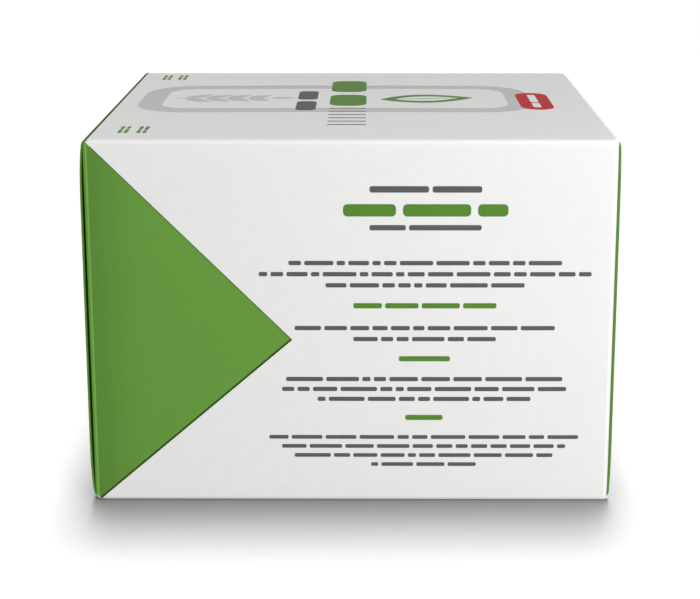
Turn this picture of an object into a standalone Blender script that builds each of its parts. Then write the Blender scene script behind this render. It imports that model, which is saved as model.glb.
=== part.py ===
"""A shut folding carton for tea, lying on one of its long sides.

One sheet of coated board, folded and glued, so the carton is one solid. A closing flap hangs from the top
panel at each end, bows a little outwards, and turns in just above the cut edge of the base panel.
Metres, +Z up, origin at the middle of the base.
"""

import math

import bmesh
import bpy

# Driving dimensions
WIDTH = 0.1200  # along X, between the end folds of the front panel
DEPTH = 0.1080  # along Y, front panel to back panel
HEIGHT = 0.0860  # along Z, base panel to top panel
FOLD_RADIUS = 0.0015  # outside of every fold

# Closing flaps
FLAP_LIFT = 0.0002  # the flap's folds lie this far outside the end folds
FLAP_BOW = 0.0006  # the flap's middle lies this much further out
FLAP_INSET = 0.0008  # from the front and back panels to the flap's cut edges
FLAP_ROOT = 0.0040  # how far inside the end the flap's solid begins
TUCK_LEVEL = 0.0008  # underside of the flap's lower fold
TUCK_RADIUS = 0.0014  # outside of the flap's lower fold
BASE_INSET = 0.0003  # from the end folds to the base panel's cut edges

# Smoothness
FACET_DEG = 15.0  # turn of one facet round a fold
FLAP_STEPS = 14  # facets down a bowed flap

# Finish
BOARD_WHITE = (0.80, 0.80, 0.78, 1.0)
INK_GREEN = (0.095, 0.235, 0.035, 1.0)
COATED_ROUGHNESS = 0.42


def arc(centre, radius, start_deg, end_deg):
    """Points from start to end along an arc round centre, both ends included."""
    steps = round((end_deg - start_deg) / FACET_DEG)
    points = []
    for i in range(steps + 1):
        angle = math.radians(start_deg + FACET_DEG * i)
        points.append((centre[0] + radius * math.cos(angle), centre[1] + radius * math.sin(angle)))
    return points


def rounded_rectangle(width, height, radius):
    """An outline centred on the origin, anticlockwise, with all four corners rounded."""
    across, up = width / 2 - radius, height / 2 - radius
    points = arc((across, -up), radius, -90, 0)
    points += arc((across, up), radius, 0, 90)
    points += arc((-across, up), radius, 90, 180)
    points += arc((-across, -up), radius, 180, 270)
    return points


def end_outline():
    """The carton in the XZ plane without its flaps: folded at the top corners, cut square at the base."""
    across, up = WIDTH / 2 - FOLD_RADIUS, HEIGHT - FOLD_RADIUS
    foot = WIDTH / 2 - BASE_INSET
    points = [(-foot, 0), (foot, 0), (foot, TUCK_LEVEL), (WIDTH / 2, TUCK_LEVEL)]
    points += arc((across, up), FOLD_RADIUS, 0, 90)
    points += arc((-across, up), FOLD_RADIUS, 90, 180)
    points += [(-WIDTH / 2, TUCK_LEVEL), (-foot, TUCK_LEVEL)]
    return points


def flap_outline():
    """The +X closing flap in the XZ plane: hinge fold, bowed panel and lower fold, backed by the carton."""
    outside = WIDTH / 2 + FLAP_LIFT
    hinge = (outside - FOLD_RADIUS, HEIGHT - FOLD_RADIUS)
    tuck = (outside - TUCK_RADIUS, TUCK_LEVEL + TUCK_RADIUS)
    points = arc(tuck, TUCK_RADIUS, -90, 0)
    for i in range(1, FLAP_STEPS):
        t = i / FLAP_STEPS
        points.append((outside + FLAP_BOW * math.sin(math.pi * t), tuck[1] + (hinge[1] - tuck[1]) * t))
    points += arc(hinge, FOLD_RADIUS, 0, 90)
    root = WIDTH / 2 - FLAP_ROOT
    points += [(root, HEIGHT - FOLD_RADIUS), (root, TUCK_LEVEL)]
    return points


def prism(name, outline, along, start, end):
    """A closed solid of an anticlockwise outline, drawn out along X, Y or Z from start to end."""
    places = {
        "X": lambda a, b, c: (c, a, b),
        "Y": lambda a, b, c: (a, c, b),
        "Z": lambda a, b, c: (a, b, c),
    }
    place = places[along]
    shape = bmesh.new()
    near = [shape.verts.new(place(a, b, start)) for a, b in outline]
    far = [shape.verts.new(place(a, b, end)) for a, b in outline]
    shape.faces.new(list(reversed(near)))
    shape.faces.new(far)
    for i in range(len(outline)):
        j = (i + 1) % len(outline)
        shape.faces.new((near[i], near[j], far[j], far[i]))
    bmesh.ops.recalc_face_normals(shape, faces=shape.faces)
    mesh = bpy.data.meshes.new(name)
    shape.to_mesh(mesh)
    shape.free()
    solid = bpy.data.objects.new(name, mesh)
    bpy.context.scene.collection.objects.link(solid)
    return solid


def combine(target, tool, operation):
    """Adds tool to target, or keeps what both hold, with a Boolean modifier."""
    modifier = target.modifiers.new(tool.name, "BOOLEAN")
    modifier.operation = operation
    modifier.solver = "EXACT"
    modifier.object = tool
    tool.hide_render = True
    tool.display_type = "WIRE"


def coated_board(name, colour):
    """Smooth coated board of one colour."""
    material = bpy.data.materials.new(name)
    material.use_nodes = True
    surface = material.node_tree.nodes["Principled BSDF"]
    surface.inputs["Base Color"].default_value = colour
    surface.inputs["Roughness"].default_value = COATED_ROUGHNESS
    surface.inputs["Metallic"].default_value = 0.0
    return material


def clear_scene():
    """Removes whatever the scene holds at the start."""
    for item in list(bpy.data.objects):
        bpy.data.objects.remove(item, do_unlink=True)


def build_carton():
    """The carton's shell, folded on its long edges and its ends, with both closing flaps joined on."""
    carton = prism("carton", end_outline(), "Y", -DEPTH / 2, DEPTH / 2)

    side = [(y, z + HEIGHT / 2) for y, z in rounded_rectangle(DEPTH, HEIGHT, FOLD_RADIUS)]
    long_folds = prism("long_folds", side, "X", -WIDTH, WIDTH)
    combine(carton, long_folds, "INTERSECT")

    plan = rounded_rectangle(WIDTH, DEPTH, FOLD_RADIUS)
    end_folds = prism("end_folds", plan, "Z", -HEIGHT, 2 * HEIGHT)
    combine(carton, end_folds, "INTERSECT")

    reach = DEPTH / 2 - FLAP_INSET
    right = flap_outline()
    left = [(-x, z) for x, z in reversed(right)]
    for name, outline in (("right_flap", right), ("left_flap", left)):
        flap = prism(name, outline, "Y", -reach, reach)
        combine(carton, flap, "UNION")
    return carton


def settle(carton):
    """Applies the Boolean modifiers and removes the solids that they used."""
    tools = [modifier.object for modifier in carton.modifiers]
    bpy.context.view_layer.update()
    evaluated = carton.evaluated_get(bpy.context.evaluated_depsgraph_get())
    joined = bpy.data.meshes.new_from_object(evaluated)
    carton.modifiers.clear()
    carton.data = joined
    joined.name = carton.name
    for tool in tools:
        bpy.data.objects.remove(tool, do_unlink=True)


def finish(carton):
    """Smooth folds with crisp cut edges, white board, and green ink on the closing flaps."""
    mesh = carton.data
    mesh.shade_smooth()
    mesh.set_sharp_from_angle(angle=math.radians(30))
    mesh.materials.clear()
    mesh.materials.append(coated_board("board_white", BOARD_WHITE))
    mesh.materials.append(coated_board("ink_green", INK_GREEN))
    for face in mesh.polygons:
        face.material_index = 1 if abs(face.center.x) > WIDTH / 2 else 0


clear_scene()
carton = build_carton()
settle(carton)
finish(carton)
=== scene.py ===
"""The looks of a shut tea carton, laid out as a Blender add-on and run as a script.

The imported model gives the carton's place and size. It is replaced by a finer wrap with crowned panels, by its
two closing flaps of thin board, and by print that lies on the panels as thin films of ink.
Metres, +Z up, the front panel faces -Y.
"""

import math
import random
from collections import namedtuple

import bmesh
import bpy
from mathutils import Euler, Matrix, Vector


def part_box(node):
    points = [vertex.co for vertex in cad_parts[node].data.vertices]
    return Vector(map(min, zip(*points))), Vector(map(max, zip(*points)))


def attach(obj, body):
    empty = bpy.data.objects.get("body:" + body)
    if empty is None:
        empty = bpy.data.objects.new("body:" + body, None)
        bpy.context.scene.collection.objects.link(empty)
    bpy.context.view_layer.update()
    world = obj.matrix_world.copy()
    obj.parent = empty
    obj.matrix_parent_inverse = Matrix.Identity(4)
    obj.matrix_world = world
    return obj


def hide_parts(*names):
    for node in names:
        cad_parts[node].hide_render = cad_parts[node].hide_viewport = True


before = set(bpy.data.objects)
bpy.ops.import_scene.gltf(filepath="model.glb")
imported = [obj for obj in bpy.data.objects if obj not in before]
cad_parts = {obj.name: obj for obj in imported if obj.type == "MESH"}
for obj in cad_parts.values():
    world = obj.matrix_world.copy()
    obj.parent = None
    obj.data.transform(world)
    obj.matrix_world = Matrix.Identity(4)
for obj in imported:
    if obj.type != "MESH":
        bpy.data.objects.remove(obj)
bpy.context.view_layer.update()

bl_info = {
    "name": "Tea carton",
    "version": (1, 0, 0),
    "blender": (4, 5, 0),
    "location": "3D View > Sidebar > Carton",
    "description": "Builds the board, the print and the studio of a shut tea carton",
    "category": "Add Mesh",
}

# Sizes that the frame gives
MM = 0.001
LOW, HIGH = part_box("carton")
DEPTH = HIGH.y - LOW.y
HEIGHT = HIGH.z - LOW.z
FLAP_LIFT = 0.2 * MM  # the flaps' folds lie this far outside the end folds
FLAP_BOW = 0.6 * MM  # a flap's middle lies at most this much further out
FLAP_FULLNESS = 10  # how soon a flap reaches its full bow below its fold
FLAP_TUCK = 4.0 * MM  # how far a flap's lower end reaches under the carton
CUT_SOFTNESS = 0.07 * MM  # how much is taken off a flap's cut edges
WIDTH = HIGH.x - LOW.x - 2 * (FLAP_LIFT + FLAP_BOW)

# Round a flap's hinge fold, in degrees from level, the print is green up to the second angle, and from the
# first angle to there the green is painted dark as shade
LEFT_HINGE_PRINT_AND_SHADE = (22.5, 90.0)
RIGHT_HINGE_PRINT_AND_SHADE = (90.0, 37.5)

# Steps of the meshes, and how near each other two points are joined
FOLD_STEPS = 8
HINGE_STEPS = 12
FLAP_STEPS = 30
PANEL_STEP = 4.0 * MM
PRINT_STEP = 5.0  # in millimetres, as all print
LEAF_STEPS = 16
BAR_CORNER_STEPS = 4
FRAME_CORNER_STEPS = 10
WRAP_JOIN = 0.002 * MM
JOIN = 0.0005 * MM
SHARP_ANGLE = math.radians(30.0)

# Ink lies this far above the board, and its film reaches this far into it. Films that overlap lie in layers.
INK_RISE = 0.03 * MM
INK_SINK = 0.05 * MM
SECOND_LAYER = 1.4 * INK_RISE
THIRD_LAYER = 1.8 * INK_RISE

# The green corner of the front and back panels, from the carton's middle and its base
GREEN_TIP = (-13.6 * MM, 39.5 * MM)
GREEN_TOP = (-WIDTH / 2, HEIGHT)
GREEN_FOOT = (-WIDTH / 2, -0.6 * MM)
BARE_FOOT = ((-60.0 * MM, 1.75 * MM), (-58.4 * MM, 0.75 * MM))  # below this line the foot is bare board
GREEN_FADE = (46.0 * MM, 61.0 * MM)  # between these distances from the middle the green gets darker
# A scored line is a small ridge, and its colour is lighter as a painted highlight
SCORE_START = (0.50 * MM, 0.75 * MM)  # the light scored line along a fold, by how far it lies from the edge
SCORE_END = (1.00 * MM, 1.30 * MM)
# Along the folds the board is rubbed and its colour is scaled, on the white board as a painted highlight
FOLD_WEAR_AND_HIGHLIGHT = (0.3 * MM, 1.7 * MM)  # how far from an edge the board is rubbed, fully and at all
KEYLINE_UPPER = 0.16 * MM
KEYLINE_LOWER = 0.45 * MM

# The height of the board's relief, from its grain to the scored line, and of the layers in a cut edge
GRAIN_HEIGHT = 0.004 * MM
PEEL_HEIGHT = 0.006 * MM
SAG_HEIGHT = 0.03 * MM
SCORE_HEIGHT = 0.03 * MM
LAYER_HEIGHT = 0.02 * MM

# Print, in millimetres on its panel. A line of word bars has its middle at across and level. Without a count
# of words, words of random lengths fill it.
Line = namedtuple("Line", "across level width height ink words", defaults=(None,))
LETTER_WIDTH = 0.95
WORD_LETTERS = (2, 9)
TITLE_LETTERS = (4, 9)
WORD_GAP = 0.75
TITLE_GAP = 0.55  # as a share of the bars' height, where that is more than a word's gap
WORD_ROUNDING = 0.34  # a bar's corner radius as a share of its height
BODY_BAR = 1.01
BODY_PITCH = 2.60
HEADING_BAR = 1.23
HEADING_WORD = 9.0
TEXT_CENTRE = 16.8
TITLE = (
    Line(0.0, 74.5, 25.2, 1.47, "ink_dark", 2),
    Line(0.0, 69.7, 37.1, 2.83, "ink_green", 3),
    Line(0.0, 65.7, 25.2, 1.23, "ink_dark", 2),
)

# A heading's width and level, then its first line's level, their pitch, their bars' height and their widths
Paragraph = namedtuple("Paragraph", "heading heading_level level pitch bar widths")
PARAGRAPHS = (
    Paragraph(0.0, 0.0, 57.5, BODY_PITCH, BODY_BAR, (61.8, 75.3, 45.1)),
    Paragraph(32.5, 47.5, 42.2, BODY_PITCH, BODY_BAR, (59.3, 32.5)),
    Paragraph(11.7, 34.9, 30.0, 2.40, BODY_BAR, (63.4, 65.3, 49.0)),
    Paragraph(8.6, 20.7, 15.9, 2.23, 0.91, (71.5, 65.6, 59.8, 24.3)),
)


def text_rows(level, widths, ink, pitch=BODY_PITCH, bar=BODY_BAR):
    """Centred lines of words, one below the other."""
    return tuple(Line(0.0, level - pitch * i, width, bar, ink) for i, width in enumerate(widths))


# The back panel's text and table
BACK_TEXT = text_rows(58.0, (70.0, 61.0, 52.0), "ink_dark")
TABLE_WIDTH = 62.0
TABLE_TOP = 47.0
TABLE_ROWS = 8
TABLE_ROW = 4.2
TABLE_MARGIN = 2.0
TABLE_LABEL = (12.0, 24.0)
TABLE_AMOUNT = (4.0, 8.0)
TABLE_RULE = 0.25
TABLE_THICK_RULE = 0.75
SEAM_LEVEL = 2.6
SEAM_HEIGHT = 0.4

# The top panel's frame, sprig and leaf outline, seen from above with the front panel below
FRAME_LEFT, FRAME_RIGHT = -54.0, 45.0
FRAME_LOW, FRAME_HIGH = -17.0, 27.0
FRAME_LEVEL = (FRAME_LOW + FRAME_HIGH) / 2
FRAME_LINE = 6.0
FRAME_RADIUS = 13.0
SPRIG_START, SPRIG_END = -45.5, -21.2
SPRIG_STEM = 0.7
SPRIG_PAIRS = 4
SPRIG_BARE = 0.4  # the stem below the first pair, where the pairs stand 1 apart
SPRIG_TURN_DEG = 42.0
SPRIG_LEAF = (9.5, 3.6)  # the first pair's length and width
SPRIG_LESS = 0.8  # how much shorter each pair is than the one before
SPRIG_TIP_LEAF = (6.5, 3.2)
LEAF_BASE = (7.0, 2.5)
LEAF_TURN_DEG = 8.0
LEAF_LENGTH = 24.0
LEAF_WIDTH = 13.0
LEAF_LINE = 2.7
LEAF_POINT = 1.3  # how much longer the line is at the leaf's two points than wide elsewhere
LEAF_RIB = 0.5
LEAF_CURVE = 0.85  # how full the leaf is near its points
LEAF_LEAN = 0.3  # how much fuller it is towards its stalk

# On the top panel, from front to back: the title, thin strokes that carry it on, the line beside it, the
# small print in the corners, and the tag
TOP_TITLE = Line(14.0, 1.2, 43.0, 9.2, "ink_green", 2)
STROKES = 6
STROKE_START = -11.6
STROKE_PITCH = 4.6
STROKE_WIDTH = 0.85
TOP_STROKES = tuple(
    TOP_TITLE._replace(across=STROKE_START - STROKE_PITCH * i, width=STROKE_WIDTH, ink="ink_dark")
    for i in range(STROKES)
)
TOP_LINES = (TOP_TITLE, Line(1.0, 11.6, 31.0, 5.0, "ink_dark", 2))
CORNER_LINES = tuple(
    Line(across, level, 8.5, 0.8, "ink_green", 2)
    for across in (43.0, -41.0)
    for level in (47.1, 48.5, 51.4, 52.8)
)
TAG = Line(1.0, -46.0, 27.0, 8.2, "ink_red")
TAG_WORDS = Line(1.0, -46.0, 20.0, 2.0, "ink_white", 2)

# The closing flaps' print, with a bare box for a date
END_LINES = (
    Line(0.0, 60.0, 46.0, 6.0, "ink_white", 1),
    Line(0.0, 51.5, 30.0, 3.4, "ink_white", 2),
    *text_rows(42.0, (56.0, 48.0, 40.0), "ink_white"),
)
DATE_BOX = Line(0.0, 21.0, 36.0, 13.0, "ink_white")
DATE_BOX_RADIUS = 1.5

# The studio: where each soft light stands, what it looks at, its width and height, and whether it is mirrored
# in the board's gloss
Lamp = namedtuple("Lamp", "place target size mirrored")
MIDDLE = (0.0, 0.0, HEIGHT / 2)
LAMPS = {
    "key": Lamp((0.45, -0.65, 0.45), MIDDLE, (0.50, 0.40), False),
    "front": Lamp((0.22, -0.80, 0.26), MIDDLE, (0.55, 0.45), True),
    "side": Lamp((0.17, -0.20, 0.13), (0.060, -0.05, 0.055), (0.10, 0.12), False),
    "fill": Lamp((-0.60, 0.75, 0.45), MIDDLE, (0.90, 0.60), True),
}

# The floor's own light is a fan of suns from front to back, so its shadow is long at the front and narrow at
# the sides. It leans a little to the right and more to the back.
FAN_SUNS = 5
FAN_ANGLE = math.radians(15.5)
FAN_REACH = math.radians(10.0)
FAN_LEAN_RIGHT = math.radians(0.8)
FAN_LEAN_BACK = math.radians(12.1)
FLOOR_REACH = 12.0
FLOOR_GREY = (0.183, 0.183, 0.183)
BACKDROP_WHITE = 1.05  # what the camera sees behind the floor, a little over white


# Properties


def length_setting(name, description, default):
    """A length that a user can change."""
    return bpy.props.FloatProperty(
        name=name, description=description, default=default, unit="LENGTH", precision=5
    )


def colour_setting(name, description, default):
    """A colour that a user can change."""
    return bpy.props.FloatVectorProperty(
        name=name, description=description, default=default, subtype="COLOR", size=3
    )


def power_setting(name, description, default):
    """The power of a light."""
    return bpy.props.FloatProperty(name=name, description=description, default=default, unit="POWER")


class TeaCartonSizes(bpy.types.PropertyGroup):
    """Sizes of the board, its folds and its closing flaps"""

    fold_radius: length_setting("Fold radius", "Outside of every fold", 1.5 * MM)
    foot_radius_left: length_setting("Left foot radius", "Rounding of the base's left edge", 1.6 * MM)
    foot_radius_right: length_setting("Right foot radius", "Rounding of the base's right edge", 0.4 * MM)
    crown: length_setting("Crown", "How far a panel's middle stands out from its folds", 0.25 * MM)
    bow_left: length_setting(
        "Left flap's bow", "How far the left flap's middle stands out", FLAP_BOW - INK_RISE
    )
    bow_right: length_setting("Right flap's bow", "How far the right flap's middle stands out", 0.25 * MM)
    board_left: length_setting("Left flap's board", "Thickness of the left flap", 0.42 * MM)
    board_right: length_setting("Right flap's board", "Thickness of the right flap", 0.62 * MM)
    flap_inset: length_setting(
        "Flap inset", "From the front and back panels to a flap's cut edges", 0.8 * MM
    )
    taper_left: length_setting(
        "Left flap's taper", "How much further in its cut edges lie at the hinge", 0.1 * MM
    )
    taper_right: length_setting(
        "Right flap's taper", "How much further in its cut edges lie at the hinge", 1.1 * MM
    )
    tuck_level: length_setting("Tuck level", "Underside of a flap's lower fold", 0.8 * MM)
    tuck_radius: length_setting("Tuck radius", "Outside of a flap's lower fold", 1.4 * MM)
    seed: bpy.props.IntProperty(
        name="Words", description="Seed of the random word lengths in the print", default=7
    )


class TeaCartonColours(bpy.types.PropertyGroup):
    """Colours of the board and of the inks"""

    board_white: colour_setting("Board", "White coated board", (0.80, 0.80, 0.785))
    raw_board: colour_setting("Raw board", "Board at a cut edge or a worn fold", (0.62, 0.59, 0.51))
    green: colour_setting("Green", "Green ink", (0.1204, 0.296, 0.0393))
    deep_green: colour_setting(
        "Deep green", "Two inks over each other along the green corner", (0.024, 0.078, 0.008)
    )
    dark: colour_setting("Dark", "Dark ink of the small print", (0.110, 0.110, 0.113))
    grey: colour_setting("Grey", "Pale grey ink of the top panel's frame", (0.56, 0.565, 0.545))
    red: colour_setting("Red", "Red ink of the top panel's tag", (0.52, 0.014, 0.018))


class TeaCartonStage(bpy.types.PropertyGroup):
    """The camera and the strength of each light"""

    lens: bpy.props.FloatProperty(name="Lens", description="Camera's lens in millimetres", default=85.0)
    place: bpy.props.FloatVectorProperty(
        name="Camera", description="Where the camera stands", subtype="TRANSLATION", unit="LENGTH",
        default=(0.0041, -0.4153, 0.1514),
    )
    pitch: bpy.props.FloatProperty(
        name="Pitch", description="How far the camera looks down", subtype="ANGLE",
        default=math.radians(13.16),
    )
    yaw: bpy.props.FloatProperty(
        name="Yaw", description="How far the camera looks to the right", subtype="ANGLE",
        default=math.radians(-0.25),
    )
    shift_x: bpy.props.FloatProperty(name="Shift X", description="Framing to the side", default=-0.0172)
    shift_y: bpy.props.FloatProperty(name="Shift Y", description="Framing up and down", default=-0.11)
    ambient: bpy.props.FloatProperty(name="Ambient", description="Light of the white room", default=0.586)
    key: power_setting("Key", "Power of the soft light high at the front right", 2.27)
    front: power_setting("Front", "Power of the soft light low at the front", 0.6)
    side: power_setting("Side", "Power of the small light close to the front right corner", 0.148)
    fill: power_setting("Fill", "Power of the soft light at the back", 1.75)
    floor_light: bpy.props.FloatProperty(
        name="Floor light", description="Strength of the suns over the floor, taken together", default=16.0
    )


# Shader maths


class Value:
    """A node's output, on which Python's operators write Math nodes."""

    def __init__(self, finish, output):
        self.finish = finish
        self.output = output

    def maths(self, operation, *others):
        return self.finish.node("ShaderNodeMath", {"operation": operation}, dict(enumerate((self,) + others)))

    def __add__(self, other):
        return self.maths("ADD", other)

    __radd__ = __add__

    def __sub__(self, other):
        return self.maths("SUBTRACT", other)

    def __rsub__(self, other):
        return self.finish.node("ShaderNodeMath", {"operation": "SUBTRACT"}, {0: other, 1: self})

    def __mul__(self, other):
        return self.maths("MULTIPLY", other)

    __rmul__ = __mul__

    def __abs__(self):
        return self.maths("ABSOLUTE")

    def at_least(self, other):
        return self.maths("MAXIMUM", other)

    def at_most(self, other):
        return self.maths("MINIMUM", other)


class Finish:
    """The nodes of one material, or of the world, added in the order in which they are used."""

    def __init__(self, owner, shader="Principled BSDF"):
        owner.use_nodes = True
        self.owner = owner
        self.tree = owner.node_tree
        self.surface = self.tree.nodes[shader]

    def node(self, kind, settings=None, sockets=None, output=0):
        """Adds a node with its settings and then its sockets. Returns one of its outputs, or all for None."""
        node = self.tree.nodes.new(kind)
        for name, setting in (settings or {}).items():
            setattr(node, name, setting)
        self.feed(node, sockets or {})
        if output is None:
            return [Value(self, each) for each in node.outputs]
        return Value(self, node.outputs[output])

    def feed(self, node, sockets):
        for name, value in sockets.items():
            if isinstance(value, Value):
                self.tree.links.new(value.output, node.inputs[name])
            else:
                node.inputs[name].default_value = value

    def place(self):
        return self.node("ShaderNodeTexCoord", output="Object")

    def noise(self, place, scale, detail=2.0, roughness=0.5):
        sockets = {"Vector": place, "Scale": scale, "Detail": detail, "Roughness": roughness}
        return self.node("ShaderNodeTexNoise", {}, sockets, "Fac")

    def stretched(self, place, scale):
        return self.node("ShaderNodeVectorMath", {"operation": "MULTIPLY"}, {0: place, 1: scale})

    def band(self, value, low, high):
        """0 below low, 1 above high and a smooth rise between them."""
        sockets = {"Value": value, "From Min": low, "From Max": high}
        return self.node("ShaderNodeMapRange", {"interpolation_type": "SMOOTHSTEP"}, sockets)

    def mix(self, factor, first, second):
        """Mixes two colours, whose sockets on the node are 6 and 7."""
        sockets = {"Factor": factor, 6: first, 7: second}
        return self.node("ShaderNodeMix", {"data_type": "RGBA"}, sockets, 2)

    def bump(self, height):
        return self.node("ShaderNodeBump", {}, {"Height": height, "Distance": 1.0, "Strength": 1.0})


def shade(colour, factor):
    """The colour made lighter or darker, with full alpha."""
    return tuple(min(1.0, channel * factor) for channel in colour[:3]) + (1.0,)


def fold_distance(finish, place):
    """How far a point on the carton's surface lies from the nearest edge of its box."""
    x, y, z = finish.node("ShaderNodeSeparateXYZ", {}, {"Vector": place}, None)
    along_x = abs(x) - WIDTH / 2
    along_y = abs(y) - DEPTH / 2
    along_z = abs(z - HEIGHT / 2) - HEIGHT / 2
    second = along_x.at_most(along_y).at_least(along_x.at_least(along_y).at_most(along_z))
    return 0.0 - second


def coated_finish(name, colour, worn, wear, score_highlight, fold_tone=1.0, fade=1.0, gloss=0.22):
    """Printed or bare coated board: faint mottling, a satin surface, scored lines painted lighter as a
    highlight, and rubbed folds. fold_tone scales the colour along the folds: on the white board a painted
    highlight, on the green about as dark as its faded print. fade is how dark the print gets towards the
    closing flaps. A noise's scale is its features to a metre."""
    finish = Finish(bpy.data.materials.new(name))
    place = finish.place()
    mottle = finish.noise(place, 260.0, 5.0, 0.6)
    cloud = finish.noise(place, 35.0, 2.0)
    flecks = finish.noise(finish.stretched(place, (1.0, 1.0, 2.6)), 2600.0, 3.0, 0.65)
    peel = finish.noise(place, 900.0, 2.0)
    sag = finish.noise(place, 28.0, 1.0)

    ink = finish.mix(finish.band(mottle, 0.30, 0.70), shade(colour, 0.985), shade(colour, 1.012))
    ink = finish.mix(finish.band(cloud, 0.3, 0.7) * 0.5, ink, shade(colour, 0.99))
    if fade < 1.0:
        x = finish.node("ShaderNodeSeparateXYZ", {}, {"Vector": place})
        ink = finish.mix(finish.band(abs(x), *GREEN_FADE), ink, shade(colour, fade))
    distance = fold_distance(finish, place)
    score = finish.band(distance, *SCORE_START) * (1.0 - finish.band(distance, *SCORE_END))
    # The scored line's lighter colour is a painted highlight
    ink = finish.mix(score * 0.6, ink, shade(colour, score_highlight))
    near = 1.0 - finish.band(distance, *FOLD_WEAR_AND_HIGHLIGHT)
    # Along the folds the colour is scaled: a painted highlight on the white board, on the green about as dark
    # as its faded print
    ink = finish.mix(near * (1.0 - score), ink, shade(colour, fold_tone))
    rubbed = near * finish.band(flecks + mottle * 0.6, 0.62, 0.98) * wear
    ink = finish.mix(rubbed, ink, shade(worn, 1.0))

    satin = 0.56 + (flecks - 0.5) * 0.10 + near * 0.06 + (cloud - 0.5) * 0.05
    height = flecks * GRAIN_HEIGHT + peel * PEEL_HEIGHT + sag * SAG_HEIGHT + score * SCORE_HEIGHT
    finish.feed(finish.surface, {
        "Base Color": ink,
        "Roughness": satin,
        "Normal": finish.bump(height),
        "IOR": 1.5,
        "Specular IOR Level": gloss,
        "Coat Weight": 0.15 * gloss,
        "Coat Roughness": 0.3,
    })
    return finish.owner


def ink_finish(name, colour, unevenness):
    """A printed film: slightly uneven ink over the board's grain."""
    finish = Finish(bpy.data.materials.new(name))
    place = finish.place()
    coverage = finish.noise(place, 1800.0, 4.0, 0.65)
    cloud = finish.noise(place, 120.0, 2.0)
    thin, thick = shade(colour, 1.0 + unevenness), shade(colour, 1.0 - unevenness)
    ink = finish.mix(finish.band(coverage, 0.35, 0.75), thick, thin)
    ink = finish.mix(finish.band(cloud, 0.35, 0.7) * 0.4, ink, thick)
    finish.feed(finish.surface, {
        "Base Color": ink,
        "Roughness": 0.5 + (coverage - 0.5) * 0.12,
        "Normal": finish.bump(coverage * GRAIN_HEIGHT),
        "IOR": 1.5,
        "Specular IOR Level": 0.07,
    })
    return finish.owner


def cut_edge_finish(name, colour, core):
    """The cut edge of printed board: fine layers along the sheet with the core showing through in places."""
    finish = Finish(bpy.data.materials.new(name))
    place = finish.place()
    layers = finish.noise(finish.stretched(place, (6.0, 1.0, 0.35)), 900.0, 4.0, 0.6)
    patches = finish.noise(place, 160.0, 3.0)
    bare = finish.band(layers * 0.6 + patches * 0.4, 0.50, 0.68) * 0.55
    finish.feed(finish.surface, {
        "Base Color": finish.mix(bare, shade(colour, 1.0), shade(core, 1.0)),
        "Roughness": 0.62 + (layers - 0.5) * 0.2,
        "Normal": finish.bump(layers * LAYER_HEIGHT),
        "IOR": 1.45,
        "Specular IOR Level": 0.2,
    })
    return finish.owner


def floor_finish(name):
    """Plain pale studio floor with a hardly visible grain."""
    finish = Finish(bpy.data.materials.new(name))
    grain = finish.noise(finish.place(), 60.0, 3.0)
    finish.feed(finish.surface, {
        "Base Color": finish.mix(grain, shade(FLOOR_GREY, 0.99), shade(FLOOR_GREY, 1.01)),
        "Roughness": 0.9,
        "Specular IOR Level": 0.0,
    })
    return finish.owner


def shared_material(name):
    """The carton's finishes, each made once and then shared by its pieces."""
    found = bpy.data.materials.get(name)
    if found:
        return found
    colours = bpy.context.scene.tea_carton_colours
    # After the wear come the scored lines' painted highlight and the scale along the folds, a painted highlight
    # on the white board
    if name == "coated_white":
        return coated_finish(name, colours.board_white, colours.raw_board, 0.12, 1.14, 1.04)
    if name == "coated_green":
        return coated_finish(name, colours.green, shade(colours.green, 1.4), 0.45, 2.2, 0.8, fade=0.77)
    # Painted shade: the closing flaps' green is a slightly darker copy of the front's green
    if name == "painted_shade_flap_green":
        return coated_finish(name, shade(colours.green, 0.9), shade(colours.green, 1.4), 0.45, 1.5)
    # Painted shade: a dark green without gloss on the left flap's hinge fold, where the fold faces away from
    # the light
    if name == "painted_shade_fold_green":
        dark, worn = shade(colours.green, 0.39), shade(colours.green, 0.65)
        return coated_finish(name, dark, worn, 0.3, 1.1, gloss=0.0)
    if name == "green_cut_edge":
        return cut_edge_finish(name, shade(colours.green, 0.78), shade(colours.green, 1.2))
    # Painted shade: the flaps' inside is a darker green, which shows only as the shade in the narrow gap beside
    # the panels
    if name == "painted_shade_inside":
        return cut_edge_finish(name, shade(colours.green, 0.7), shade(colours.green, 0.9))
    if name == "raw_cut_edge":
        return cut_edge_finish(name, colours.raw_board, shade(colours.raw_board, 0.75))
    inks = {
        "ink_dark": colours.dark,
        "ink_green": shade(colours.green, 0.82),
        "ink_deep_green": colours.deep_green,
        "ink_grey": colours.grey,
        "ink_red": colours.red,
        "ink_white": colours.board_white,
    }
    return ink_finish(name, inks[name], 0.03 if name in ("ink_grey", "ink_white") else 0.09)


# Meshes


def finish_piece(name, shape, materials, replaces=False):
    """Turns a bmesh into a piece of the carton."""
    bmesh.ops.recalc_face_normals(shape, faces=shape.faces)
    mesh = bpy.data.meshes.new(name)
    shape.to_mesh(mesh)
    shape.free()
    mesh.shade_smooth()
    mesh.set_sharp_from_angle(angle=SHARP_ANGLE)
    for material in materials:
        mesh.materials.append(shared_material(material))
    piece = bpy.data.objects.new(name, mesh)
    bpy.context.scene.collection.objects.link(piece)
    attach(piece, "root")
    if replaces:
        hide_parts("carton")
    return piece


def steps_for(length, step):
    return max(1, math.ceil(length / step))


def arc(centre, across, up, start_deg, end_deg, steps):
    """Points along an elliptical arc, both ends included."""
    points = []
    for i in range(steps + 1):
        angle = math.radians(start_deg + (end_deg - start_deg) * i / steps)
        points.append((centre[0] + across * math.cos(angle), centre[1] + up * math.sin(angle)))
    return points


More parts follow.
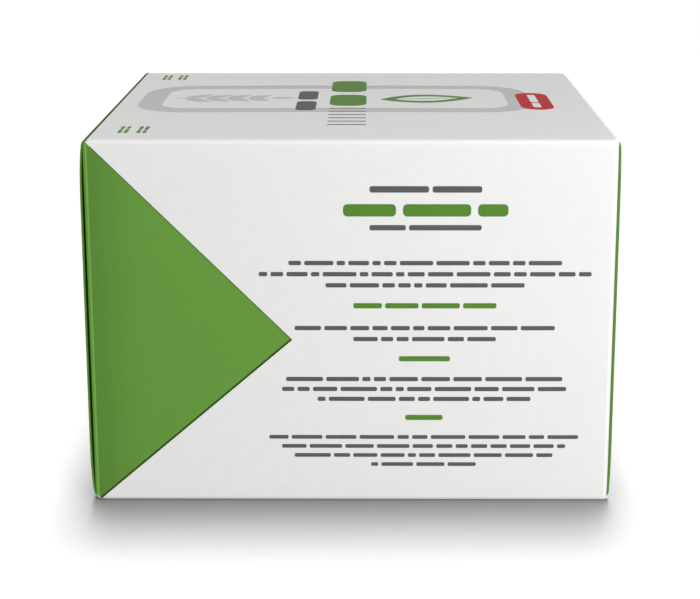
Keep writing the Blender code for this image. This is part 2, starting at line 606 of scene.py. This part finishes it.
def between(start, end, steps):
    """Points inside the straight run from start to end, neither end included."""
    return [
        (start[0] + (end[0] - start[0]) * i / steps, start[1] + (end[1] - start[1]) * i / steps)
        for i in range(1, steps)
    ]


def swell(share):
    """1 in the middle of a panel, 0 at its folds and beyond them."""
    return max(0.0, 1.0 - share * share)


class Carton:
    """The carton's outer form, which the wrap, the flaps and the print share."""

    def __init__(self):
        self.sizes = bpy.context.scene.tea_carton_sizes
        self.radius = self.sizes.fold_radius
        self.crown = self.sizes.crown
        self.half_width = WIDTH / 2
        self.half_depth = DEPTH / 2 - self.crown - INK_RISE
        self.top = HEIGHT - self.crown - THIRD_LAYER
        self.flat_x = self.half_width - self.radius
        self.flat_y = self.half_depth - self.radius
        self.middle_z = self.top / 2
        self.flat_z = self.middle_z - self.radius

    def side_crown(self, x, z):
        return self.crown * swell(x / self.flat_x) * swell((z - self.middle_z) / self.flat_z)

    def top_crown(self, x, y):
        return self.crown * swell(x / self.flat_x) * swell(y / self.flat_y)

    def front(self, across, level, rise):
        return Vector((across, -(self.half_depth + self.side_crown(across, level) + rise), level))

    def back(self, across, level, rise):
        return Vector((-across, self.half_depth + self.side_crown(across, level) + rise, level))

    def lid(self, across, along, rise):
        return Vector((across, along, self.top + self.top_crown(across, along) + rise))

    def lid_turned(self, along, across, rise):
        """The top panel with its lines running from front to back."""
        return self.lid(-across, along, rise)

    def flap_reach(self, level, bow):
        """How far out a closing flap stands at a level."""
        low = self.sizes.tuck_level + self.sizes.tuck_radius
        high = self.top - self.radius
        share = min(1.0, max(0.0, (level - low) / (high - low)))
        return self.half_width + FLAP_LIFT + bow * (1.0 - abs(2.0 * share - 1.0) ** FLAP_FULLNESS)

    def right_end(self, across, level, rise):
        return Vector((self.flap_reach(level, self.sizes.bow_right) + rise, across, level))

    def left_end(self, across, level, rise):
        return Vector((-self.flap_reach(level, self.sizes.bow_left) - rise, -across, level))


# The wrap


def foot_inset(radius, level):
    """How far an edge that is rounded at the base lies inside its panel at a level."""
    if level >= radius:
        return 0.0
    return radius - math.sqrt(radius * radius - (radius - level) ** 2)


def wrap_levels(carton):
    """Each level of the wrap and how far the long folds lie inside their panels there."""
    radius = carton.radius
    levels = []
    for i in range(FOLD_STEPS):
        angle = math.pi / 2 * i / FOLD_STEPS
        levels.append((radius - radius * math.cos(angle), radius - radius * math.sin(angle)))
    straight = carton.top - 2 * radius
    count = steps_for(straight, PANEL_STEP)
    levels += [(radius + straight * i / count, 0.0) for i in range(count)]
    for i in range(FOLD_STEPS + 1):
        angle = math.pi / 2 * i / FOLD_STEPS
        levels.append((carton.top - radius + radius * math.sin(angle), radius - radius * math.cos(angle)))
    return levels


def wrap_contour(carton, level, inset):
    """The wrap's outline at one level, anticlockwise from above, from the front right fold."""
    radius = carton.radius
    if level > carton.middle_z:
        left_inset = right_inset = inset
    else:
        left_inset = foot_inset(carton.sizes.foot_radius_left, level)
        right_inset = foot_inset(carton.sizes.foot_radius_right, level)
    left, right = carton.half_width - left_inset, carton.half_width - right_inset
    left_fold, right_fold = max(0.0, radius - left_inset), max(0.0, radius - right_inset)
    depth, depth_fold = carton.half_depth - inset, radius - inset
    corners = (
        ((right - right_fold, depth_fold - depth), right_fold, -90),
        ((right - right_fold, depth - depth_fold), right_fold, 0),
        ((left_fold - left, depth - depth_fold), left_fold, 90),
        ((left_fold - left, depth_fold - depth), left_fold, 180),
    )
    counts = (steps_for(DEPTH, PANEL_STEP), steps_for(WIDTH, PANEL_STEP)) * 2
    folds = [arc(centre, across, depth_fold, turn, turn + 90, FOLD_STEPS) for centre, across, turn in corners]
    points = []
    for i, fold in enumerate(folds):
        points += fold + between(fold[-1], folds[(i + 1) % 4][0], counts[i])
    return [
        (x, y + math.copysign(carton.side_crown(x, level), y) if abs(x) < carton.flat_x else y, level)
        for x, y in points
    ]


def build_wrap():
    """The board sleeve and its dust flaps as one closed form, cut along the edges of the green corner."""
    carton = Carton()
    shape = bmesh.new()
    rings = []
    for level, inset in wrap_levels(carton):
        rings.append([shape.verts.new(point) for point in wrap_contour(carton, level, inset)])
    count = len(rings[0])
    for low, high in zip(rings, rings[1:]):
        for i in range(count):
            j = (i + 1) % count
            shape.faces.new((low[i], low[j], high[j], high[i]))
    shape.faces.new(list(reversed(rings[0])))

    across, along = steps_for(WIDTH, PANEL_STEP), steps_for(DEPTH, PANEL_STEP)
    grid = []
    for i in range(across + 1):
        x = carton.flat_x * (2 * i / across - 1)
        ys = [carton.flat_y * (2 * j / along - 1) for j in range(along + 1)]
        grid.append([shape.verts.new(carton.lid(x, y, 0.0)) for y in ys])
    for i in range(across):
        for j in range(along):
            shape.faces.new((grid[i][j], grid[i + 1][j], grid[i + 1][j + 1], grid[i][j + 1]))
    bmesh.ops.remove_doubles(shape, verts=shape.verts, dist=WRAP_JOIN)

    edges = []
    for start, end in ((GREEN_TIP, GREEN_TOP), (GREEN_FOOT, GREEN_TIP), BARE_FOOT):
        origin = Vector((start[0], 0.0, start[1]))
        run = (Vector((end[0], 0.0, end[1])) - origin).normalized()
        outward = Vector((run.z, 0.0, -run.x))
        edges.append((origin, outward))
        parts = shape.verts[:] + shape.edges[:] + shape.faces[:]
        bmesh.ops.bisect_plane(shape, geom=parts, dist=JOIN, plane_co=origin, plane_no=outward)

    finishes = ["coated_white", "coated_green", "raw_cut_edge"]
    for face in shape.faces:
        middle = face.calc_center_median()
        beyond = [(middle - origin).dot(outward) > 0.0 for origin, outward in edges]
        on_lid = middle.z > carton.top - WRAP_JOIN
        on_left_end = middle.x < -carton.flat_x and abs(middle.y) < carton.flat_y
        green = not any(beyond[:2]) or on_left_end
        finish = "raw_cut_edge" if beyond[2] else "coated_green" if green and not on_lid else "coated_white"
        face.material_index = finishes.index(finish)
    return finish_piece("carton_wrap", shape, finishes, replaces=True)


# The closing flaps


def flap_section(carton, bow, board, trim):
    """One closing flap in the XZ plane: its outside from the tuck to the hinge, then its inside, both at +X.
    trim takes that much off both faces, where a cut edge is softened."""
    sizes = carton.sizes
    hinge = (carton.half_width + FLAP_LIFT - carton.radius, carton.top - carton.radius)
    tuck = (carton.half_width + FLAP_LIFT - sizes.tuck_radius, sizes.tuck_level + sizes.tuck_radius)
    root = carton.half_width - FLAP_TUCK
    shares = [(1.0 - math.cos(math.pi * i / FLAP_STEPS)) / 2 for i in range(1, FLAP_STEPS)]
    run = [tuck[1] + (hinge[1] - tuck[1]) * share for share in shares]

    def face(depth):
        fold, turn = sizes.tuck_radius - depth, carton.radius - depth
        points = [(root, sizes.tuck_level + depth)]
        points += arc(tuck, fold, fold, -90, 0, HINGE_STEPS)
        points += [(carton.flap_reach(level, bow) - depth, level) for level in run]
        points += arc(hinge, turn, turn, 0, 90, HINGE_STEPS)
        points.append((carton.flat_x, carton.top - depth))
        return points

    return face(trim), face(board - trim)


def flap_narrowing(carton, level, taper):
    """The share of its width that a flap has at a level: all of it below the hinge fold, less on the fold."""
    climb = min(1.0, max(0.0, (level - carton.top + carton.radius) / carton.radius))
    return 1.0 - taper * climb / (DEPTH / 2)


def build_flap(name, side, bow, board, taper, hinge_print_and_shade):
    """A closing flap of thin board on one side of the carton."""
    carton = Carton()
    reach = DEPTH / 2 - carton.sizes.flap_inset
    count = steps_for(2 * reach, 2 * PANEL_STEP)
    inner = reach - CUT_SOFTNESS
    stations = [(-reach, CUT_SOFTNESS)]
    stations += [(inner * (2 * i / count - 1), 0.0) for i in range(count + 1)]
    stations += [(reach, CUT_SOFTNESS)]
    shape = bmesh.new()
    rows = []
    for y, trim in stations:
        outside, inside = flap_section(carton, bow, board, trim)
        loop = outside + list(reversed(inside))
        rows.append([shape.verts.new((side * x, y * flap_narrowing(carton, z, taper), z)) for x, z in loop])
    outside_count = len(outside)
    count = len(rows[0])
    hinge_start = outside_count - 2 - HINGE_STEPS
    painted_shade_start, green_end = (hinge_start + round(HINGE_STEPS * degrees / 90) for degrees in hinge_print_and_shade)
    finishes = ["coated_white", "painted_shade_flap_green", "painted_shade_fold_green", "green_cut_edge", "painted_shade_inside"]

    def outside_finish(i, cut):
        if i >= green_end:
            return "coated_white"
        if cut:
            return "green_cut_edge"
        # From the first hinge angle on, the fold gets the dark green of painted shade
        return "painted_shade_fold_green" if i >= painted_shade_start else "painted_shade_flap_green"

    for row, (low, high) in enumerate(zip(rows, rows[1:])):
        softened = row in (0, len(rows) - 2)
        for i in range(count):
            j = (i + 1) % count
            face = shape.faces.new((low[i], low[j], high[j], high[i]))
            # The flap's inside gets the darker green of painted shade
            finish = "painted_shade_inside" if i >= outside_count - 1 else outside_finish(i, softened)
            face.material_index = finishes.index(finish)
    for row in (rows[0], rows[-1]):
        for i in range(outside_count - 1):
            j = count - 1 - i
            face = shape.faces.new((row[i], row[i + 1], row[j - 1], row[j]))
            face.material_index = finishes.index(outside_finish(i, True))
    return finish_piece(name, shape, finishes, replaces=True)


# The print


class Print:
    """Films of ink, collected in one mesh. Their outlines are in millimetres on a panel."""

    def __init__(self, inks):
        self.shape = bmesh.new()
        self.inks = list(inks)

    def strip(self, place, one, two, ink, closed=False, rise=INK_RISE):
        """A film between two sides that have equally many points. The first side is the right-hand one."""
        layers = []
        for height in (rise, -INK_SINK):
            sides = [[place(a * MM, b * MM, height) for a, b in side] for side in (one, two)]
            layers.append([[self.shape.verts.new(point) for point in side] for side in sides])
        (top_one, top_two), (low_one, low_two) = layers
        count = len(one)
        faces = []
        for i in range(count if closed else count - 1):
            j = (i + 1) % count
            faces.append((top_one[i], top_one[j], top_two[j], top_two[i]))
            faces.append((low_one[i], low_two[i], low_two[j], low_one[j]))
            faces.append((top_one[i], low_one[i], low_one[j], top_one[j]))
            faces.append((top_two[i], top_two[j], low_two[j], low_two[i]))
        if not closed:
            faces.append((top_one[0], top_two[0], low_two[0], low_one[0]))
            faces.append((top_one[-1], low_one[-1], low_two[-1], top_two[-1]))
        for corners in faces:
            self.shape.faces.new(corners).material_index = self.inks.index(ink)

    def bar(self, place, bar, radius=None, rise=INK_RISE):
        """A level bar as long and high as a line. Without a radius its ends are round."""
        radius = min(bar.height, bar.width) / 2 if radius is None else radius
        near, far = bar.across - bar.width / 2 + radius, bar.across + bar.width / 2 - radius
        low = bar.level - bar.height / 2
        run = between((near, low), (far, low), steps_for(far - near, PRINT_STEP))
        lower = arc((near, low + radius), radius, radius, 180, 270, BAR_CORNER_STEPS) + run
        lower += arc((far, low + radius), radius, radius, 270, 360, BAR_CORNER_STEPS)
        upper = [(a, 2 * bar.level - b) for a, b in lower]
        self.strip(place, lower, upper, bar.ink, rise=rise)

    def line(self, place, line, dice, rise=INK_RISE):
        """A line of word bars."""
        if line.words is None:
            letters = []
            while sum(letters) * LETTER_WIDTH + len(letters) * WORD_GAP < line.width:
                letters.append(dice.randint(*WORD_LETTERS))
        else:
            letters = [dice.randint(*TITLE_LETTERS) for _ in range(line.words)]
        gap = max(WORD_GAP, TITLE_GAP * line.height)
        unit = (line.width - gap * (len(letters) - 1)) / sum(letters)
        start = line.across - line.width / 2
        for count in letters:
            word = line._replace(across=start + unit * count / 2, width=unit * count)
            self.bar(place, word, WORD_ROUNDING * line.height, rise)
            start += unit * count + gap

    def finish(self, name):
        bmesh.ops.remove_doubles(self.shape, verts=self.shape.verts, dist=JOIN)
        return finish_piece(name, self.shape, self.inks)


def shifted(lines, across):
    """The same lines, moved sideways."""
    return [line._replace(across=line.across + across) for line in lines]


def text_block():
    """The title, then each paragraph's heading and its lines."""
    lines = list(TITLE)
    for block in PARAGRAPHS:
        if block.heading:
            words = max(1, round(block.heading / HEADING_WORD))
            lines.append(Line(0.0, block.heading_level, block.heading, HEADING_BAR, "ink_green", words))
        lines += text_rows(block.level, block.widths, "ink_dark", block.pitch, block.bar)
    return lines


def print_keylines(film, carton, place, mirror):
    """The thin line of doubled ink along both edges of the green corner."""
    for corner, width in ((GREEN_TOP, KEYLINE_UPPER), (GREEN_FOOT, KEYLINE_LOWER)):
        tip, end = Vector(GREEN_TIP), Vector(corner)
        run = (end - tip).normalized()
        length = (abs(end.x - tip.x) - carton.radius) / abs(run.x)
        if corner is GREEN_TOP:
            length = min(length, (carton.top - carton.radius - tip.y) / run.y)
        normal = Vector((-run.y, run.x))
        count = steps_for(length, PRINT_STEP * MM)
        middle = [tip + run * (length * i / count) for i in range(count + 1)]
        one = [point - normal * (width / 2) for point in middle]
        two = [point + normal * (width / 2) for point in middle]
        sides = [[(mirror * point.x / MM, point.y / MM) for point in side] for side in (one, two)]
        film.strip(place, sides[0], sides[1], "ink_deep_green")


def build_front_print():
    """The front panel: a title and paragraphs at the right, and the thin lines of the green corner."""
    carton = Carton()
    film = Print(["ink_dark", "ink_green", "ink_deep_green"])
    dice = random.Random(carton.sizes.seed)
    for line in shifted(text_block(), TEXT_CENTRE):
        film.line(carton.front, line, dice)
    print_keylines(film, carton, carton.front, 1.0)
    return film.finish("front_print")


def build_back_print():
    """The back panel: the same green corner and title, and a table in place of the paragraphs."""
    carton = Carton()
    film = Print(["ink_dark", "ink_green", "ink_deep_green"])
    dice = random.Random(carton.sizes.seed + 1)
    place = carton.back
    print_keylines(film, carton, place, -1.0)
    for line in shifted(TITLE + BACK_TEXT, -TEXT_CENTRE):
        film.line(place, line, dice)

    for i in range(TABLE_ROWS + 1):
        thickness = TABLE_THICK_RULE if i in (0, 1, TABLE_ROWS) else TABLE_RULE
        rule = Line(-TEXT_CENTRE, TABLE_TOP - TABLE_ROW * i, TABLE_WIDTH, thickness, "ink_green")
        film.bar(place, rule, TABLE_RULE / 10)
    left = -TEXT_CENTRE - TABLE_WIDTH / 2 + TABLE_MARGIN
    right = -TEXT_CENTRE + TABLE_WIDTH / 2 - TABLE_MARGIN
    for i in range(TABLE_ROWS):
        level = TABLE_TOP - TABLE_ROW * (i + 0.5)
        label, amount = dice.uniform(*TABLE_LABEL), dice.uniform(*TABLE_AMOUNT)
        film.line(place, Line(left + label / 2, level, label, BODY_BAR, "ink_dark"), dice)
        film.line(place, Line(right - amount / 2, level, amount, BODY_BAR, "ink_dark", 1), dice)
    return film.finish("back_print")


def rounded_frame(inset):
    """The outline of the top panel's frame, or one inside it, anticlockwise, with points along its sides."""
    left, right = FRAME_LEFT + inset, FRAME_RIGHT - inset
    low, high = FRAME_LOW + inset, FRAME_HIGH - inset
    radius = FRAME_RADIUS - inset
    centres = (
        (right - radius, low + radius),
        (right - radius, high - radius),
        (left + radius, high - radius),
        (left + radius, low + radius),
    )
    turns = (-90, 0, 90, 180)
    folds = [arc(at, radius, radius, turn, turn + 90, FRAME_CORNER_STEPS) for at, turn in zip(centres, turns)]
    sides = (FRAME_HIGH - FRAME_LOW, FRAME_RIGHT - FRAME_LEFT) * 2
    counts = [steps_for(side, PRINT_STEP) for side in sides]
    points = []
    for i, fold in enumerate(folds):
        points += fold + between(fold[-1], folds[(i + 1) % 4][0], counts[i])
    return points


def leaf_sides(base, turn_deg, length, width):
    """The two sides of a pointed leaf from its stalk to its tip."""
    along = Vector((math.cos(math.radians(turn_deg)), math.sin(math.radians(turn_deg))))
    across = Vector((-along.y, along.x))
    sides = ([], [])
    for i in range(LEAF_STEPS + 1):
        t = i / LEAF_STEPS
        half = width / 2 * math.sin(math.pi * t) ** LEAF_CURVE * (1.0 + LEAF_LEAN * (0.5 - t))
        middle = Vector(base) + along * (length * t)
        sides[0].append(tuple(middle - across * half))
        sides[1].append(tuple(middle + across * half))
    return sides


def print_sprig(film, place):
    """A stem with pairs of leaves that get shorter towards its tip, and one leaf at the tip."""
    length = SPRIG_END - SPRIG_START
    film.bar(place, Line((SPRIG_START + SPRIG_END) / 2, FRAME_LEVEL, length, SPRIG_STEM, "ink_grey"))
    leaves = [leaf_sides((SPRIG_END, FRAME_LEVEL), 0.0, *SPRIG_TIP_LEAF)]
    leaf_length, leaf_width = SPRIG_LEAF
    for i in range(SPRIG_PAIRS):
        share = (i + SPRIG_BARE) / (SPRIG_PAIRS + SPRIG_BARE)
        base = (SPRIG_START + length * share, FRAME_LEVEL)
        for turn_deg in (-SPRIG_TURN_DEG, SPRIG_TURN_DEG):
            leaves.append(leaf_sides(base, turn_deg, leaf_length - SPRIG_LESS * i, leaf_width))
    for one, two in leaves:
        film.strip(place, one, two, "ink_grey")


def print_leaf(film, place):
    """The outline of a pointed leaf with its rib."""
    turn = math.radians(LEAF_TURN_DEG)
    base, along = Vector(LEAF_BASE), Vector((math.cos(turn), math.sin(turn)))
    outer = leaf_sides(base, LEAF_TURN_DEG, LEAF_LENGTH, LEAF_WIDTH)
    start, length = base + along * (LEAF_POINT * LEAF_LINE), LEAF_LENGTH - 2 * LEAF_POINT * LEAF_LINE
    inner = leaf_sides(start, LEAF_TURN_DEG, length, LEAF_WIDTH - 2 * LEAF_LINE)
    loops = [one + two[-2:0:-1] for one, two in (outer, inner)]
    film.strip(place, loops[0], loops[1], "ink_green", closed=True)
    film.strip(place, *leaf_sides(start, LEAF_TURN_DEG, length, LEAF_RIB), "ink_green")


def build_top_print():
    """The top panel: a pale frame, a sprig, a leaf outline, title bars from front to back and a red tag."""
    carton = Carton()
    film = Print(["ink_grey", "ink_green", "ink_dark", "ink_red", "ink_white"])
    dice = random.Random(carton.sizes.seed + 2)
    film.strip(carton.lid, rounded_frame(0.0), rounded_frame(FRAME_LINE), "ink_grey", closed=True)
    print_sprig(film, carton.lid)
    print_leaf(film, carton.lid)
    for line in TOP_LINES + CORNER_LINES:
        film.line(carton.lid_turned, line, dice, SECOND_LAYER)
    for bar in TOP_STROKES + (TAG,):
        film.bar(carton.lid_turned, bar, rise=SECOND_LAYER)
    film.line(carton.lid_turned, TAG_WORDS, dice, THIRD_LAYER)
    return film.finish("top_print")


def build_end_print(name, place):
    """A closing flap's print: title bars, small print and a bare box for a date."""
    film = Print(["ink_white"])
    dice = random.Random(Carton().sizes.seed + len(name))
    for line in END_LINES:
        film.line(place, line, dice)
    film.bar(place, DATE_BOX, DATE_BOX_RADIUS)
    return film.finish(name)


def build_seam():
    """The cut edge of the glued lap, low on the back panel."""
    carton = Carton()
    film = Print(["raw_cut_edge"])
    width = 2 * carton.flat_x / MM
    film.bar(carton.back, Line(0.0, SEAM_LEVEL, width, SEAM_HEIGHT, "raw_cut_edge"), SEAM_HEIGHT / 4)
    return film.finish("seam_edge")


# The studio


def build_floor():
    """A large level floor."""
    shape = bmesh.new()
    bmesh.ops.create_grid(shape, x_segments=8, y_segments=8, size=FLOOR_REACH)
    mesh = bpy.data.meshes.new("floor")
    shape.to_mesh(mesh)
    shape.free()
    mesh.materials.append(floor_finish("floor_white"))
    floor = bpy.data.objects.new("floor", mesh)
    bpy.context.scene.collection.objects.link(floor)
    floor.visible_diffuse = False
    return floor


def add_light(name, kind, place, target, mirrored=True, **settings):
    """A light that looks at a target. One that isn't mirrored leaves no gloss on what it lights."""
    data = bpy.data.lights.new(name, kind)
    for setting, value in settings.items():
        setattr(data, setting, value)
    light = bpy.data.objects.new(name, data)
    light.location = place
    light.rotation_euler = (Vector(target) - Vector(place)).to_track_quat("-Z", "Y").to_euler()
    light.visible_camera = False
    light.visible_glossy = mirrored
    bpy.context.scene.collection.objects.link(light)
    return light


def build_lights(floor):
    """Soft lights round the carton, and a fan of suns for the floor alone."""
    stage = bpy.context.scene.tea_carton_stage
    for name, lamp in LAMPS.items():
        width, height = lamp.size
        add_light(name + "_light", "AREA", lamp.place, lamp.target, lamp.mirrored, shape="RECTANGLE",
                  size=width, size_y=height, energy=getattr(stage, name))

    receivers = bpy.data.collections.new("floor_only")
    receivers.objects.link(floor)
    for i in range(FAN_SUNS):
        lean = FAN_LEAN_BACK + FAN_REACH * (2 * i / (FAN_SUNS - 1) - 1)
        place = (math.tan(FAN_LEAN_RIGHT), math.tan(lean), 1.0)
        sun = add_light("floor_light_%d" % (i + 1), "SUN", place, (0.0, 0.0, 0.0), angle=FAN_ANGLE,
                        energy=stage.floor_light / FAN_SUNS)
        sun.light_linking.receiver_collection = receivers


def build_world():
    """A white room: white behind the carton, and softer as a light."""
    ambient = bpy.context.scene.tea_carton_stage.ambient
    finish = Finish(bpy.data.worlds.new("white_room"), "Background")
    seen = finish.node("ShaderNodeLightPath", output="Is Camera Ray")
    strength = ambient + seen * (BACKDROP_WHITE - ambient)
    finish.feed(finish.surface, {"Color": (1.0, 1.0, 1.0, 1.0), "Strength": strength})
    bpy.context.scene.world = finish.owner
    bpy.context.scene.view_settings.view_transform = "Standard"


def build_camera():
    """The photograph's viewing angle."""
    stage = bpy.context.scene.tea_carton_stage
    data = bpy.data.cameras.new("camera")
    data.lens = stage.lens
    data.shift_x = stage.shift_x
    data.shift_y = stage.shift_y
    data.clip_start = 0.01
    data.clip_end = 100.0
    camera = bpy.data.objects.new("camera", data)
    camera.location = stage.place
    camera.rotation_euler = Euler((math.pi / 2 - stage.pitch, 0.0, -stage.yaw))
    bpy.context.scene.collection.objects.link(camera)
    bpy.context.scene.camera = camera


# Operators


class TeaCartonWrap(bpy.types.Operator):
    """Builds the folded board with its green corner"""

    bl_idname = "tea_carton.wrap"
    bl_label = "Wrap"

    def execute(self, context):
        build_wrap()
        return {"FINISHED"}


class TeaCartonFlaps(bpy.types.Operator):
    """Builds the two closing flaps"""

    bl_idname = "tea_carton.flaps"
    bl_label = "Closing flaps"

    def execute(self, context):
        sizes = context.scene.tea_carton_sizes
        left = (sizes.bow_left, sizes.board_left, sizes.taper_left, LEFT_HINGE_PRINT_AND_SHADE)
        right = (sizes.bow_right, sizes.board_right, sizes.taper_right, RIGHT_HINGE_PRINT_AND_SHADE)
        build_flap("closing_flap_left", -1.0, *left)
        build_flap("closing_flap_right", 1.0, *right)
        return {"FINISHED"}


class TeaCartonFrontPrint(bpy.types.Operator):
    """Prints the front panel"""

    bl_idname = "tea_carton.front_print"
    bl_label = "Front print"

    def execute(self, context):
        build_front_print()
        return {"FINISHED"}


class TeaCartonTopPrint(bpy.types.Operator):
    """Prints the top panel"""

    bl_idname = "tea_carton.top_print"
    bl_label = "Top print"

    def execute(self, context):
        build_top_print()
        return {"FINISHED"}


class TeaCartonBackPrint(bpy.types.Operator):
    """Prints the back panel and adds the glued lap's edge"""

    bl_idname = "tea_carton.back_print"
    bl_label = "Back print"

    def execute(self, context):
        build_back_print()
        build_seam()
        return {"FINISHED"}


class TeaCartonEndPrint(bpy.types.Operator):
    """Prints both closing flaps"""

    bl_idname = "tea_carton.end_print"
    bl_label = "End print"

    def execute(self, context):
        carton = Carton()
        build_end_print("end_print_left", carton.left_end)
        build_end_print("end_print_right", carton.right_end)
        return {"FINISHED"}


class TeaCartonStudio(bpy.types.Operator):
    """Builds the floor, the lights, the room and the camera"""

    bl_idname = "tea_carton.studio"
    bl_label = "Studio"

    def execute(self, context):
        build_lights(build_floor())
        build_world()
        build_camera()
        return {"FINISHED"}


OPERATORS = (
    TeaCartonStudio,
    TeaCartonWrap,
    TeaCartonFlaps,
    TeaCartonFrontPrint,
    TeaCartonTopPrint,
    TeaCartonBackPrint,
    TeaCartonEndPrint,
)


class TeaCartonPanel(bpy.types.Panel):
    """Lists the operators and their settings"""

    bl_idname = "VIEW3D_PT_tea_carton"
    bl_label = "Tea carton"
    bl_space_type = "VIEW_3D"
    bl_region_type = "UI"
    bl_category = "Carton"

    def draw(self, context):
        for operator in OPERATORS:
            self.layout.operator(operator.bl_idname)
        for name in GROUPS:
            group = getattr(context.scene, name)
            box = self.layout.box()
            for setting in group.__annotations__:
                box.prop(group, setting)


GROUPS = {
    "tea_carton_sizes": TeaCartonSizes,
    "tea_carton_colours": TeaCartonColours,
    "tea_carton_stage": TeaCartonStage,
}


def register():
    for item in (*GROUPS.values(), *OPERATORS, TeaCartonPanel):
        bpy.utils.register_class(item)
    for name, group in GROUPS.items():
        setattr(bpy.types.Scene, name, bpy.props.PointerProperty(type=group))


def unregister():
    for name in GROUPS:
        delattr(bpy.types.Scene, name)
    for item in reversed((*GROUPS.values(), *OPERATORS, TeaCartonPanel)):
        bpy.utils.unregister_class(item)


def main():
    register()
    for operator in OPERATORS:
        group, name = operator.bl_idname.split(".")
        getattr(getattr(bpy.ops, group), name)()


if __name__ == "__main__":
    main()
